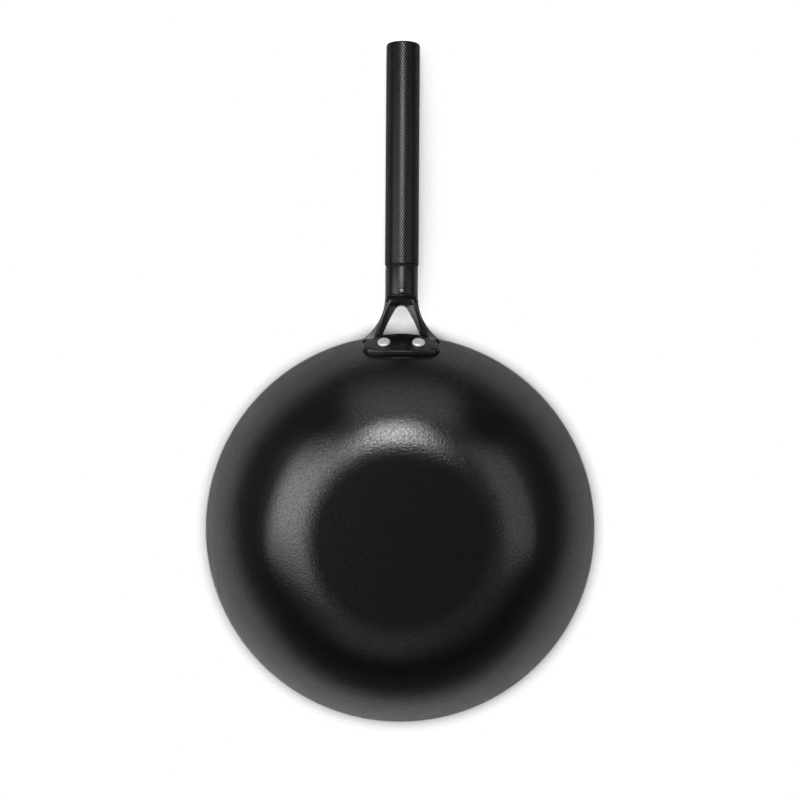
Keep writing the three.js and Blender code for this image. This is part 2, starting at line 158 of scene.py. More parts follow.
# Knurl: crossed grooves about thirty degrees from the axis leave diamonds with flat tips. The last
# value is the tips' share of the pitch.
KNURL_ROUND_PITCH = 1.9
KNURL_LONG_PITCH = 3.06
KNURL_DEPTH = 0.3
KNURL_FLAT = 0.6

# Camera that took the underside, in a frame 800 pixels square
IMAGE_WIDTH = 800
FOCAL_PIXELS = 1560
RIM_PIXELS = 194.26
RIM_CENTRE_PIXEL = (400.0, 529.64)
CAMERA_ROLL = 0.38 * DEGREE
SENSOR = 36


def arc(centre, radius, start, end, steps):
    """Points of the bowl's section between two slopes."""
    points = []
    for i in range(steps + 1):
        slope = start + (end - start) * i / steps
        x = centre[0] + radius * math.sin(slope)
        y = centre[1] - radius * math.cos(slope)
        points.append((x, y))
    return points


wall_run = RIM_RADIUS - BASE_RADIUS - SHOULDER_RADIUS * math.sin(SHOULDER_SLOPE)
wall_rise = BOWL_HEIGHT - SHOULDER_RADIUS * (1 - math.cos(SHOULDER_SLOPE))
rim_slope = 2 * math.atan2(wall_rise, wall_run) - SHOULDER_SLOPE
wall_radius = wall_run / (math.sin(rim_slope) - math.sin(SHOULDER_SLOPE))
shoulder_centre = (BASE_RADIUS, SHOULDER_RADIUS)
wall_centre = (
    RIM_RADIUS - wall_radius * math.sin(rim_slope),
    BOWL_HEIGHT + wall_radius * math.cos(rim_slope),
)
handle_frame = Matrix.Translation((0, RIM_RADIUS, BOWL_HEIGHT - HANDLE_DROP)) @ Matrix.Rotation(
    HANDLE_RISE, 4, "X"
)


def linear(hex_colour):
    """An sRGB hex colour as linear RGBA."""
    parts = [int(hex_colour[i : i + 2], 16) / 255 for i in (1, 3, 5)]
    return [c / 12.92 if c <= 0.04045 else ((c + 0.055) / 1.055) ** 2.4 for c in parts] + [1]


def add(tree, kind, values=None, links=None, **settings):
    """A node with its settings, its inputs' values and its inputs' links."""
    made = tree.nodes.new(kind)
    for name, value in settings.items():
        setattr(made, name, value)
    for name, value in (values or {}).items():
        made.inputs[name].default_value = value
    for name, socket in (links or {}).items():
        tree.links.new(socket, made.inputs[name])
    return made


def new_material(name):
    """An empty material, its tree and its output node."""
    made = bpy.data.materials.new(name)
    made.use_nodes = True
    made.node_tree.nodes.clear()
    return made, made.node_tree, made.node_tree.nodes.new("ShaderNodeOutputMaterial")


def satin_black_enamel():
    """Sprayed black enamel baked on steel: a top coat that is thicker in some specks than in others
    gives the soft highlights a fine grain over a faint orange peel. Real specks are finer, and these
    are as coarse as they need to show."""
    peel_mm, peel_depth_mm, speck_mm = 1.3, 0.17, 1.6
    made, tree, output = new_material("satin black enamel")
    place = add(tree, "ShaderNodeTexCoord").outputs["Object"]
    peel = add(
        tree, "ShaderNodeTexNoise", {"Scale": 1 / (peel_mm * MM), "Detail": 2.0}, {"Vector": place}
    )
    specks = add(
        tree, "ShaderNodeTexNoise", {"Scale": 1 / (speck_mm * MM), "Detail": 1.0}, {"Vector": place}
    )
    wave = add(
        tree,
        "ShaderNodeBump",
        {"Strength": 1.0, "Distance": peel_depth_mm * MM},
        {"Height": peel.outputs["Fac"]},
    )
    coat = add(
        tree,
        "ShaderNodeMapRange",
        {"From Min": 0.3, "From Max": 0.7, "To Min": 0.27, "To Max": 0.73},
        {"Value": specks.outputs["Fac"]},
    )
    shader = add(
        tree,
        "ShaderNodeBsdfPrincipled",
        {"Base Color": linear("#070707"), "IOR": 1.33, "Roughness": 0.22, "Coat Roughness": 0.22},
        {
            "Coat Weight": coat.outputs["Result"],
            "Normal": wave.outputs["Normal"],
            "Coat Normal": wave.outputs["Normal"],
        },
    )
    tree.links.new(shader.outputs["BSDF"], output.inputs["Surface"])
    return made


def black_stove_paint(name, dullest, ior):
    """Black paint on cast and turned steel: a smooth skin, with sharper highlights than the enamel's
    on the bracket and softer ones on the collar."""
    skin_mm, skin_depth_mm, gloss_span = 3.0, 0.03, 0.06
    made, tree, output = new_material(name)
    place = add(tree, "ShaderNodeTexCoord").outputs["Object"]
    skin = add(
        tree, "ShaderNodeTexNoise", {"Scale": 1 / (skin_mm * MM), "Detail": 2.0}, {"Vector": place}
    )
    wave = add(
        tree,
        "ShaderNodeBump",
        {"Strength": 1.0, "Distance": skin_depth_mm * MM},
        {"Height": skin.outputs["Fac"]},
    )
    gloss = add(
        tree,
        "ShaderNodeMapRange",
        {"To Min": dullest - gloss_span, "To Max": dullest},
        {"Value": skin.outputs["Fac"]},
    )
    shader = add(
        tree,
        "ShaderNodeBsdfPrincipled",
        {"Base Color": linear("#060606"), "IOR": ior},
        {"Roughness": gloss.outputs["Result"], "Normal": wave.outputs["Normal"]},
    )
    tree.links.new(shader.outputs["BSDF"], output.inputs["Surface"])
    return made


def black_anodised_aluminium(name, shade, dullest):
    """Black anodised aluminium: dark metal, dull in the knurl's grooves. With the lighter shade it
    colours the grip's tips, lighter partly as burnish wear and partly as a painted glint. Real pores
    can't be seen, and these are as coarse as they need to show."""
    pore_mm, glossiest = 0.8, 0.6
    made, tree, output = new_material(name)
    place = add(tree, "ShaderNodeTexCoord").outputs["Object"]
    pores = add(
        tree, "ShaderNodeTexNoise", {"Scale": 1 / (pore_mm * MM), "Detail": 2.0}, {"Vector": place}
    )
    gloss = add(
        tree,
        "ShaderNodeMapRange",
        {"To Min": glossiest * dullest, "To Max": dullest},
        {"Value": pores.outputs["Fac"]},
    )
    shader = add(
        tree,
        "ShaderNodeBsdfPrincipled",
        {"Base Color": linear(shade), "Metallic": 1.0},
        {"Roughness": gloss.outputs["Result"]},
    )
    tree.links.new(shader.outputs["BSDF"], output.inputs["Surface"])
    return made


def satin_steel():
    """Stainless steel, headed and tumbled: bright satin metal with small shallow dents."""
    scratch_mm, dent_mm, dent_depth_mm = 0.6, 2.2, 0.3
    made, tree, output = new_material("satin stainless steel")
    place = add(tree, "ShaderNodeTexCoord").outputs["Object"]
    scratch = add(
        tree,
        "ShaderNodeTexNoise",
        {"Scale": 1 / (scratch_mm * MM), "Detail": 3.0},
        {"Vector": place},
    )
    dents = add(
        tree, "ShaderNodeTexNoise", {"Scale": 1 / (dent_mm * MM), "Detail": 1.0}, {"Vector": place}
    )
    wave = add(
        tree,
        "ShaderNodeBump",
        {"Strength": 1.0, "Distance": dent_depth_mm * MM},
        {"Height": dents.outputs["Fac"]},
    )
    gloss = add(
        tree,
        "ShaderNodeMapRange",
        {"To Min": 0.58, "To Max": 0.74},
        {"Value": scratch.outputs["Fac"]},
    )
    shader = add(
        tree,
        "ShaderNodeBsdfPrincipled",
        {"Base Color": linear("#d0d0d2"), "Metallic": 1.0},
        {"Roughness": gloss.outputs["Result"], "Normal": wave.outputs["Normal"]},
    )
    tree.links.new(shader.outputs["BSDF"], output.inputs["Surface"])
    return made


def black_fibre():
    """Pressed black fibre board: flat and matt, with a faint mottle."""
    mottle_mm = 1.0
    made, tree, output = new_material("black fibre board")
    place = add(tree, "ShaderNodeTexCoord").outputs["Object"]
    mottle = add(
        tree,
        "ShaderNodeTexNoise",
        {"Scale": 1 / (mottle_mm * MM), "Detail": 2.0},
        {"Vector": place},
    )
    shade = add(
        tree,
        "ShaderNodeMix",
        {"A": linear("#060606"), "B": linear("#0c0c0c")},
        {"Factor": mottle.outputs["Fac"]},
        data_type="RGBA",
    )
    shader = add(
        tree,
        "ShaderNodeBsdfPrincipled",
        {"Roughness": 0.85},
        {"Base Color": shade.outputs["Result"]},
    )
    tree.links.new(shader.outputs["BSDF"], output.inputs["Surface"])
    return made


def white_board(
    name, shade, lift, mirrored=0, reach=None, fade=1, middle=0, slimness=1, nook_shadow=False
):
    """Matt board seen from its front only, by the camera and, where mirrored is 1, in the wok's
    reflections. Light passes through it, so that the lamps on both sides reach the wok. The lift
    raises it to white and leaves the lamps' shadow on it. With nooks the lift also dims close under
    the wok, by how much of the wok is near, which paints a contact shadow there. With a reach, the
    camera sees an oval of the board that fades away at its edge: it reaches that many millimetres to
    each side, has its middle that far out along the handle, and is slimness times as wide as it is
    long. Where the board is lit below white, that oval is a painted grey band whose fade sets where
    the shadow ends."""
    nook_mm, nook_power = 15, 4.0
    made, tree, output = new_material(name)
    path = add(tree, "ShaderNodeLightPath")
    camera_ray, glossy_ray = path.outputs["Is Camera Ray"], path.outputs["Is Glossy Ray"]
    raised = add(tree, "ShaderNodeMath", {1: lift}, {0: camera_ray}, operation="MULTIPLY")
    if nook_shadow:
        # Painted contact shadow: the glow dims where the wok is near
        nook = add(tree, "ShaderNodeAmbientOcclusion", {"Distance": nook_mm * MM})
        openness = add(
            tree, "ShaderNodeMath", {1: nook_power}, {0: nook.outputs["AO"]}, operation="POWER"
        )
        raised = add(
            tree,
            "ShaderNodeMath",
            None,
            {0: raised.outputs["Value"], 1: openness.outputs["Value"]},
            operation="MULTIPLY",
        )
    direct = camera_ray
    if reach:
        place = add(tree, "ShaderNodeTexCoord").outputs["Object"]
        aside = add(
            tree,
            "ShaderNodeMapping",
            {"Location": (0, -middle * slimness * MM, 0), "Scale": (1, slimness, 0)},
            {"Vector": place},
        )
        away = add(
            tree, "ShaderNodeVectorMath", None, {0: aside.outputs["Vector"]}, operation="LENGTH"
        )
        near = add(
            tree,
            "ShaderNodeMapRange",
            {"From Min": reach * MM, "From Max": (reach - fade) * MM},
            {"Value": away.outputs["Value"]},
        )
        direct = add(
            tree,
            "ShaderNodeMath",
            None,
            {0: camera_ray, 1: near.outputs["Result"]},
            operation="MULTIPLY",
        ).outputs["Value"]
    side = add(tree, "ShaderNodeNewGeometry")
    front = add(
        tree, "ShaderNodeMath", {0: 1.0}, {1: side.outputs["Backfacing"]}, operation="SUBTRACT"
    )
    looked = add(
        tree, "ShaderNodeMath", {1: mirrored}, {0: glossy_ray, 2: direct}, operation="MULTIPLY_ADD"
    )
    seen = add(
        tree,
        "ShaderNodeMath",
        None,
        {0: looked.outputs["Value"], 1: front.outputs["Value"]},
        operation="MULTIPLY",
    )
    board = add(tree, "ShaderNodeBsdfDiffuse", {"Color": linear(shade)})
    glow = add(tree, "ShaderNodeEmission", None, {"Strength": raised.outputs["Value"]})
    lit = add(
        tree, "ShaderNodeAddShader", None, {0: board.outputs["BSDF"], 1: glow.outputs["Emission"]}
    )
    clear = add(tree, "ShaderNodeBsdfTransparent")
    shader = add(
        tree,
        "ShaderNodeMixShader",
        None,
        {0: seen.outputs["Value"], 1: clear.outputs["BSDF"], 2: lit.outputs["Shader"]},
    )
    tree.links.new(shader.outputs["Shader"], output.inputs["Surface"])
    return made


def spun(profile, closed=False, steps=TURNED_STEPS):
    """A piece turned about +Y, from (radius, place) pairs."""
    bm = bmesh.new()
    points = [bm.verts.new((radius, place, 0)) for radius, place in profile]
    pairs = list(zip(points, points[1:]))
    if closed:
        pairs.append((points[-1], points[0]))
    edges = [bm.edges.new(pair) for pair in pairs]
    bmesh.ops.spin(
        bm,
        geom=points + edges,
        cent=(0, 0, 0),
        axis=(0, 1, 0),
        angle=2 * math.pi,
        steps=steps,
        use_merge=True,
    )
    bmesh.ops.remove_doubles(bm, verts=bm.verts, dist=TURNED_MERGE)
    bmesh.ops.recalc_face_normals(bm, faces=bm.faces)
    return bm


def bevel(bm, edges, width, segments):
    """Bevels edges: one segment gives a chamfer, more give a round."""
    bmesh.ops.bevel(
        bm,
        geom=edges,
        offset=width,
        offset_type="OFFSET",
        segments=segments,
        profile=0.5,
        affect="EDGES",
        clamp_overlap=True,
        material=-1,
    )


def round_edges(bm, width, segments=3, sharper_than=30 * DEGREE):
    """Rounds the edges that turn by more than an angle."""
    sharp = [e for e in bm.edges if e.is_manifold and e.calc_face_angle() > sharper_than]
    bevel(bm, sharp, width, segments)


def as_object(bm, name, place=Matrix()):
    """A bmesh drawn in millimetres as an object in metres, its place in its mesh."""
    bmesh.ops.transform(bm, matrix=Matrix.Scale(MM, 4) @ place, verts=bm.verts)
    mesh = bpy.data.meshes.new(name)
    bm.to_mesh(mesh)
    bm.free()
    made = bpy.data.objects.new(name, mesh)
    bpy.context.collection.objects.link(made)
    return made


def fit(made, node, materials, smooth=35 * DEGREE):
    """Finishes a piece: shading, materials, and what it stands for in the frame."""
    mesh = made.data
    mesh.polygons.foreach_set("use_smooth", [smooth > 0] * len(mesh.polygons))
    if smooth > 0:
        mesh.set_sharp_from_angle(angle=smooth)
    for material in materials:
        mesh.materials.append(material)
    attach(made, "root")
    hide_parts(node)


def bowl_section(offset):
    """The bowl's section from its axis to its rim, moved outwards by offset."""
    return (
        [(0, -offset)]
        + arc(shoulder_centre, SHOULDER_RADIUS + offset, 0, SHOULDER_SLOPE, SHOULDER_STEPS)
        + arc(wall_centre, wall_radius + offset, SHOULDER_SLOPE, rim_slope, WALL_STEPS)[1:]
    )


def make_bowl():
    bm = spun(bowl_section(0) + bowl_section(-WALL)[::-1], steps=BOWL_STEPS)
    round_edges(bm, RIM_ROUND, segments=4)
    return as_object(bm, "bowl_shell", Matrix.Rotation(math.pi / 2, 4, "X"))


def on_wall(point):
    """A point of a flat drawing laid on the bowl's wall: x runs round it, y down it from the rim,
    z out of it."""
    slope = rim_slope - point.y / wall_radius
    reach = wall_radius + point.z
    radius = wall_centre[0] + reach * math.sin(slope)
    turn = math.asin(point.x / radius)
    height = wall_centre[1] - reach * math.cos(slope)
    return Vector((radius * math.sin(turn), radius * math.cos(turn), height))


def foot_plate():
    """The oval plate, drawn flat, with a drafted edge, and laid on the wall."""
    half_width = PLATE_WIDTH / 2
    half_height = (PLATE_FOOT - PLATE_TOP) / 2
    bm = bmesh.new()
    bmesh.ops.create_circle(bm, cap_ends=True, radius=1, segments=PLATE_STEPS)
    for v in bm.verts:
        v.co.x = math.copysign(abs(v.co.x) ** (2 / PLATE_SQUARENESS), v.co.x) * half_width
        v.co.y = math.copysign(abs(v.co.y) ** (2 / PLATE_SQUARENESS), v.co.y) * half_height
    top = bmesh.ops.extrude_face_region(bm, geom=bm.faces[:])["geom"]
    lifted = [g for g in top if isinstance(g, bmesh.types.BMVert)]
    bmesh.ops.translate(bm, verts=lifted, vec=(0, 0, PLATE_THICKNESS))
    taper = (1 - PLATE_DRAFT / half_width, 1 - PLATE_DRAFT / half_height, 1)
    bmesh.ops.scale(bm, verts=lifted, vec=taper)
    bmesh.ops.recalc_face_normals(bm, faces=bm.faces)
    round_edges(bm, CASTING_ROUND, 2)
    for i in range(1, PLATE_CUTS):
        for axis, half in (((1, 0, 0), half_width), ((0, 1, 0), half_height)):
            spot = Vector(axis) * half * (2 * i / PLATE_CUTS - 1)
            bmesh.ops.bisect_plane(
                bm, geom=bm.verts[:] + bm.edges[:] + bm.faces[:], plane_co=spot, plane_no=axis
            )
    middle = (PLATE_TOP + PLATE_FOOT) / 2
    for v in bm.verts:
        v.co = on_wall(v.co + Vector((0, middle, SEAT_GAP)))
    bmesh.ops.recalc_face_normals(bm, faces=bm.faces)
    return bm


def edge_width(s):
    """Half width of the yoke's outer edge, s from the rim: a curve from the neck to the foot."""
    neck, bend, foot = EDGE_PLACE
    if s <= foot:
        return EDGE_WIDTH[2]
    a, b = neck - 2 * bend + foot, 2 * (bend - neck)
    t = (-b - math.sqrt(b * b - 4 * a * (neck - min(s, neck)))) / (2 * a)
    return (1 - t) ** 2 * EDGE_WIDTH[0] + 2 * t * (1 - t) * EDGE_WIDTH[1] + t * t * EDGE_WIDTH[2]


def crest_width(ends, s):
    """Half width of a straight line of the crest, from its width at the rim and at the neck."""
    return ends[0] + (ends[1] - ends[0]) * s / YOKE_LENGTH


def window_width(s):
    """Half width of the window, s from the rim: a round tip and sides that steepen to the foot."""
    half = WINDOW_WIDTH / 2
    tip = WINDOW_LENGTH - WINDOW_TIP_RADIUS
    start_x = WINDOW_TIP_RADIUS * math.cos(WINDOW_LEAN)
    start_s = tip + WINDOW_TIP_RADIUS * math.sin(WINDOW_LEAN)
    if s <= 0:
        return half
    if s >= WINDOW_LENGTH:
        return 0
    if s >= start_s:
        return math.sqrt(WINDOW_TIP_RADIUS**2 - (s - tip) ** 2)
    t = 1 - s / start_s
    pull = start_x + start_s / 2 * math.tan(WINDOW_LEAN)
    return (1 - t) ** 2 * start_x + 2 * t * (1 - t) * pull + t * t * half


def leg_places():
    """Places along the axis where a leg gets a section, close together round the window's tip."""
    tip = WINDOW_LENGTH - WINDOW_TIP_RADIUS
    start = tip + WINDOW_TIP_RADIUS * math.sin(WINDOW_LEAN)
    places = [-YOKE_ROOT, -YOKE_ROOT / 2]
    places += [start * i / LEG_STEPS for i in range(-2, LEG_STEPS)]
    for i in range(TIP_STEPS + 1):
        turn = WINDOW_LEAN + (math.pi / 2 - WINDOW_LEAN) * i / TIP_STEPS
        places.append(tip + WINDOW_TIP_RADIUS * math.sin(turn))
    return places + [YOKE_LENGTH, YOKE_LENGTH + LEG_IN_NECK]


def yoke_leg(side):
    """One leg, lofted through its sections: window wall, scoop, crest that falls towards the plate,
    steep outside, and the web that flares out along the top. Past the window the legs lap over."""
    bm = bmesh.new()
    rings = []
    half = LEG_THICKNESS / 2
    web = half - WEB_THICKNESS
    for s in leg_places():
        inner = window_width(s) or -LEG_LAP
        edge = edge_width(s)
        outer = crest_width(CREST_OUTER, s)
        reach = max(0, 1 - s / YOKE_LENGTH)
        crest = min(LEG_DROP * reach**2 - half, web - CREST_LEAST)
        if s < WINDOW_LENGTH:
            scoop = SCOOP_DEPTH * max(SCOOP_LEAST, s / WINDOW_LENGTH)
        else:
            scoop = SCOOP_DEPTH * max(0, YOKE_LENGTH - s) / (YOKE_LENGTH - WINDOW_LENGTH)
        corners = (
            (inner, half),
            (inner, crest + scoop),
            (crest_width(CREST_INNER, s), crest),
            (outer, crest),
            (outer + CREST_FALL, web),
            (edge - EDGE_CHAMFER, web),
            (edge, web + EDGE_CHAMFER),
            (edge, half),
        )
        ring = [bm.verts.new((side * x, s, z)) for x, z in corners]
        rings.append([bm.edges.new((ring[i - 1], ring[i])) for i in range(len(ring))])
    for lower, upper in zip(rings, rings[1:]):
        bmesh.ops.bridge_loops(bm, edges=lower + upper)
    for ring in (rings[0], rings[-1]):
        bmesh.ops.contextual_create(bm, geom=ring)
    bmesh.ops.recalc_face_normals(bm, faces=bm.faces)
    least_turn, least_rise, least_aside, near = 12 * DEGREE, 1e-4, 1, 0.1
    first, last = -YOKE_ROOT + near, YOKE_LENGTH + LEG_IN_NECK - near
    ends = [v for v in bm.verts if v.co.y < first or v.co.y > last]
    lengthwise = [
        e
        for e in bm.edges
        if e.calc_face_angle() > least_turn
        and abs(e.verts[0].co.y - e.verts[1].co.y) > least_rise
        and not all(v in ends for v in e.verts)
        and abs(e.verts[0].co.x) > least_aside
    ]
    bevel(bm, lengthwise, CASTING_ROUND, 2)
    return bm


def neck():
    """The round neck, tapered to the flat of the yoke, and the spigot inside the collar."""
    end = YOKE_LENGTH + NECK_LENGTH
    spigot = COLLAR_BORE - SEAT_GAP
    sections = (
        (YOKE_LENGTH + NECK_START, NECK_RADIUS, NECK_FLAT),
        (end - NECK_LIP, NECK_RADIUS, NECK_RADIUS),
        (end, NECK_RADIUS, NECK_RADIUS),
        (end, spigot, spigot),
        (COLLAR_END - SEAT_GAP, spigot, spigot),
    )
    bm = bmesh.new()
    rings = []
    for place, radius, flat in sections:
        ring = bmesh.ops.create_circle(bm, radius=radius, segments=NECK_STEPS)["verts"]
        turn = Matrix.Translation((0, place, 0)) @ Matrix.Rotation(math.pi / 2, 4, "X")
        bmesh.ops.transform(bm, matrix=turn, verts=ring)
        for v in ring:
            v.co.z = max(-flat, min(flat, v.co.z))
        rings.append(list({e for v in ring for e in v.link_edges}))
    for lower, upper in zip(rings, rings[1:]):
        bmesh.ops.bridge_loops(bm, edges=lower + upper)
    for ring in (rings[0], rings[-1]):
        bmesh.ops.contextual_create(bm, geom=ring)
    bmesh.ops.recalc_face_normals(bm, faces=bm.faces)
    return bm


def combine(base, tools):
    """Joins solids to a solid, or cuts them out of it."""
    for tool, how in tools:
        step = base.modifiers.new(tool.name, "BOOLEAN")
        step.operation = how
        step.solver = "EXACT"
        step.object = tool
    graph = bpy.context.evaluated_depsgraph_get()
    bm = bmesh.new()
    bm.from_object(base, graph)
    bmesh.ops.remove_doubles(bm, verts=bm.verts, dist=CUT_MERGE * MM)
    bmesh.ops.recalc_face_normals(bm, faces=bm.faces)
    base.modifiers.clear()
    bm.to_mesh(base.data)
    bm.free()
    for tool, _ in tools:
        bpy.data.objects.remove(tool)
    return base


def bowl_space():
    """What the bowl fills, with the seat's gap around it and closed over the rim."""
    section = bowl_section(SEAT_GAP)
    lid = BOWL_HEIGHT + LEG_THICKNESS
    bm = spun(section + [(section[-1][0], lid), (0, lid)], steps=BOWL_STEPS)
    return as_object(bm, "bowl_space", Matrix.Rotation(math.pi / 2, 4, "X"))


def make_bracket():
    """Plate, legs and neck joined into one casting and cut to the bowl."""
    base = as_object(foot_plate(), "bracket_casting")
    legs = [as_object(yoke_leg(side), "leg", handle_frame) for side in (-1, 1)]
    tools = [(leg, "UNION") for leg in legs]
    tools.append((as_object(neck(), "neck", handle_frame), "UNION"))
    tools.append((bowl_space(), "DIFFERENCE"))
    return combine(base, tools)


def cap_points(radius, rise, steps=10):
    """A rounded head from its middle to its edge, as (radius, height over the edge) pairs."""
    ball = (radius**2 + rise**2) / (2 * rise)
    widest = math.asin(radius / ball)
    angles = [widest * i / steps for i in range(steps + 1)]
    return [(ball * math.sin(a), rise - ball * (1 - math.cos(a))) for a in angles]


def make_rivet(name, side):
    """Flat head with a slight dome on the plate, shank, and a low head inside the bowl."""
    inner_face = -WALL - SEAT_GAP
    outer_face = PLATE_THICKNESS + 2 * SEAT_GAP
    low = [(r, inner_face - h) for r, h in cap_points(RIVET_INNER_HEAD, RIVET_INNER_RISE)]
    crown = RIVET_RISE - RIVET_SIDE - RIVET_SHOULDER
    dome = [(r, outer_face + RIVET_RISE - crown + h) for r, h in cap_points(RIVET_FACE, crown)]
    profile = low + [(RIVET_SHANK, inner_face), (RIVET_SHANK, outer_face), (RIVET_HEAD, outer_face)]
    profile += [(RIVET_HEAD, outer_face + RIVET_SIDE)] + dome[::-1]
    bm = spun(profile, steps=SMALL_STEPS)
    round_edges(bm, RIVET_ROUND)
    slope = rim_slope - RIVET_DOWN / wall_radius
    foot = arc(wall_centre, wall_radius, slope, slope, 1)[0]
    turn = math.asin(RIVET_SPACING / 2 / foot[0])
    place = (
        Matrix.Rotation(-side * turn, 4, "Z")
        @ Matrix.Translation((0, foot[0], foot[1]))
        @ Matrix.Rotation(slope - math.pi / 2, 4, "X")
    )
    return as_object(bm, name, place)


def pin_place():
    """The frame of the cross pin: its Y axis is the pin's."""
    across = Matrix.Rotation(math.pi / 2, 4, "X")
    return handle_frame @ Matrix.Translation((0, PIN_PLACE, 0)) @ across


def make_collar():
    """A sleeve with a stub inside the grip, drilled across and countersunk for the pin."""
    profile = [
        (COLLAR_BORE, COLLAR_START),
        (COLLAR_RADIUS, COLLAR_START),
        (COLLAR_RADIUS, COLLAR_END),
        (STUB_RADIUS, COLLAR_END),
        (STUB_RADIUS, STUB_END),
        (COLLAR_BORE, STUB_END),
    ]
    bm = spun(profile, closed=True)
    round_edges(bm, COLLAR_EDGE)
    hole, reach = PIN_RADIUS + SEAT_GAP, 2 * COLLAR_RADIUS
    wide, inner, outer = hole + SINK_WIDTH, COLLAR_RADIUS - SINK_DEPTH, COLLAR_RADIUS + SINK_PAST
    side = [(hole, inner), (wide, outer), (wide, reach), (0, reach)]
    drill = spun([(r, -place) for r, place in side[::-1]] + side, steps=SMALL_STEPS)
    sleeve = as_object(bm, "collar_sleeve", handle_frame)
    return combine(sleeve, [(as_object(drill, "pin_drill", pin_place()), "DIFFERENCE")])


def make_pin():
    half = COLLAR_RADIUS + PIN_CROWN
    crown = [(r, half - PIN_CROWN + h) for r, h in cap_points(PIN_RADIUS, PIN_CROWN)]
    profile = [(r, -h) for r, h in crown] + crown[::-1]
    return as_object(spun(profile, steps=PIN_STEPS), "cross_pin", pin_place())


def make_washer():
    profile = [
        (GRIP_BORE, WASHER_START),
        (WASHER_RADIUS, WASHER_START),
        (WASHER_RADIUS, WASHER_END),
        (GRIP_BORE, WASHER_END),
    ]
    return as_object(spun(profile, closed=True), "fibre_washer", handle_frame)


def make_grip():
    """A tube whose outside is rolled into diamonds. The tips take its first material, lighter partly
    as burnish wear and partly as a painted glint, and the rest of it takes the second."""
    around = 2 * round(math.pi * GRIP_RADIUS * 2 / KNURL_ROUND_PITCH)
    first, last = GRIP_START + GRIP_EDGE, GRIP_END - GRIP_EDGE
    along = 2 * round((last - first) / KNURL_LONG_PITCH)
    step = (last - first) / along
    outside = [(GRIP_RADIUS, first + step * j) for j in range(along + 1)]
    seat = PLUG_START - SEAT_GAP
    profile = [(GRIP_BORE, GRIP_START), (GRIP_RADIUS - GRIP_EDGE, GRIP_START)]
    profile += outside
    profile += [(GRIP_RADIUS - GRIP_EDGE, GRIP_END), (PLUG_SEAT, GRIP_END), (PLUG_SEAT, seat)]
    bm = spun(profile + [(GRIP_BORE, seat)], closed=True, steps=around)
    hair = 0.01
    skin, tip_floor = GRIP_RADIUS - hair, GRIP_RADIUS - KNURL_DEPTH / 4
    spike = KNURL_DEPTH / (1 - KNURL_FLAT) - KNURL_DEPTH
    low, high = set(), set()
    for v in bm.verts:
        radius = math.hypot(v.co.x, v.co.z)
        if radius < skin:
            continue
        i = round(math.atan2(v.co.z, v.co.x) / (2 * math.pi) * around)
        j = round((v.co.y - first) / step)
        deep = (i + j) % 2 or j in (0, along)
        wanted = GRIP_RADIUS - KNURL_DEPTH if deep else GRIP_RADIUS + spike
        v.co.x, v.co.z = v.co.x * wanted / radius, v.co.z * wanted / radius
        if (i + j) % 2:
            low.add(v)
        elif not deep:
            high.add(v)
    for face in bm.faces[:]:
        ends = [v for v in face.verts if v in low]
        if len(face.verts) == 4 and len(ends) == 2 and any(v in high for v in face.verts):
            if not any(ends[0] in e.verts and ends[1] in e.verts for e in face.edges):
                bmesh.utils.face_split(face, ends[0], ends[1])
    bmesh.ops.bevel(
        bm,
        geom=list(high),
        offset=100 * KNURL_FLAT,
        offset_type="PERCENT",
        segments=1,
        profile=0.5,
        affect="VERTICES",
        material=-1,
    )
    bmesh.ops.recalc_face_normals(bm, faces=bm.faces)
    # The tips get the lighter material: burnish wear and a painted glint
    for face in bm.faces:
        lowest = min(math.hypot(v.co.x, v.co.z) for v in face.verts)
        face.material_index = 0 if lowest > tip_floor else 1
    return as_object(bm, "knurled_grip", handle_frame)


def make_plug():
    hole, recess = BOLT_RADIUS + SEAT_GAP, BOLT_HEAD + SEAT_GAP
    floor = BOLT_HEAD_START - SEAT_GAP
    profile = [
        (hole, PLUG_START),
        (PLUG_SEAT - SEAT_GAP, PLUG_START),
        (PLUG_SEAT - SEAT_GAP, PLUG_END),
        (recess, PLUG_END),
        (recess, floor),
        (hole, floor),
    ]
    bm = spun(profile, closed=True)
    round_edges(bm, PLUG_ROUND)
    return as_object(bm, "end_plug", handle_frame)


def make_bolt():
    """Long bolt with a hexagon socket sunk into its head."""
    profile = [
        (0, BOLT_TIP),
        (BOLT_RADIUS, BOLT_TIP),
        (BOLT_RADIUS, BOLT_HEAD_START),
        (BOLT_HEAD, BOLT_HEAD_START),
        (BOLT_HEAD, PLUG_END),
    ]
    bm = spun(profile, steps=SMALL_STEPS)
    rim = [e for e in bm.edges if e.is_boundary]
    corner = SOCKET_WIDTH / math.sqrt(3)
    made = bmesh.ops.create_circle(bm, cap_ends=False, radius=corner, segments=6)["verts"]
    turn = Matrix.Translation((0, PLUG_END, 0)) @ Matrix.Rotation(math.pi / 2, 4, "X")
    bmesh.ops.transform(bm, matrix=turn, verts=made)
    hexagon = list({e for v in made for e in v.link_edges})
    bmesh.ops.bridge_loops(bm, edges=rim + hexagon)
    wall = bmesh.ops.extrude_edge_only(bm, edges=hexagon)["geom"]
    sunk = [g for g in wall if isinstance(g, bmesh.types.BMVert)]
    bmesh.ops.translate(bm, verts=sunk, vec=(0, -SOCKET_DEPTH, 0))
    bmesh.ops.contextual_create(bm, geom=[e for e in bm.edges if e.is_boundary])
    bmesh.ops.recalc_face_normals(bm, faces=bm.faces)
    return as_object(bm, "tie_bolt", handle_frame)


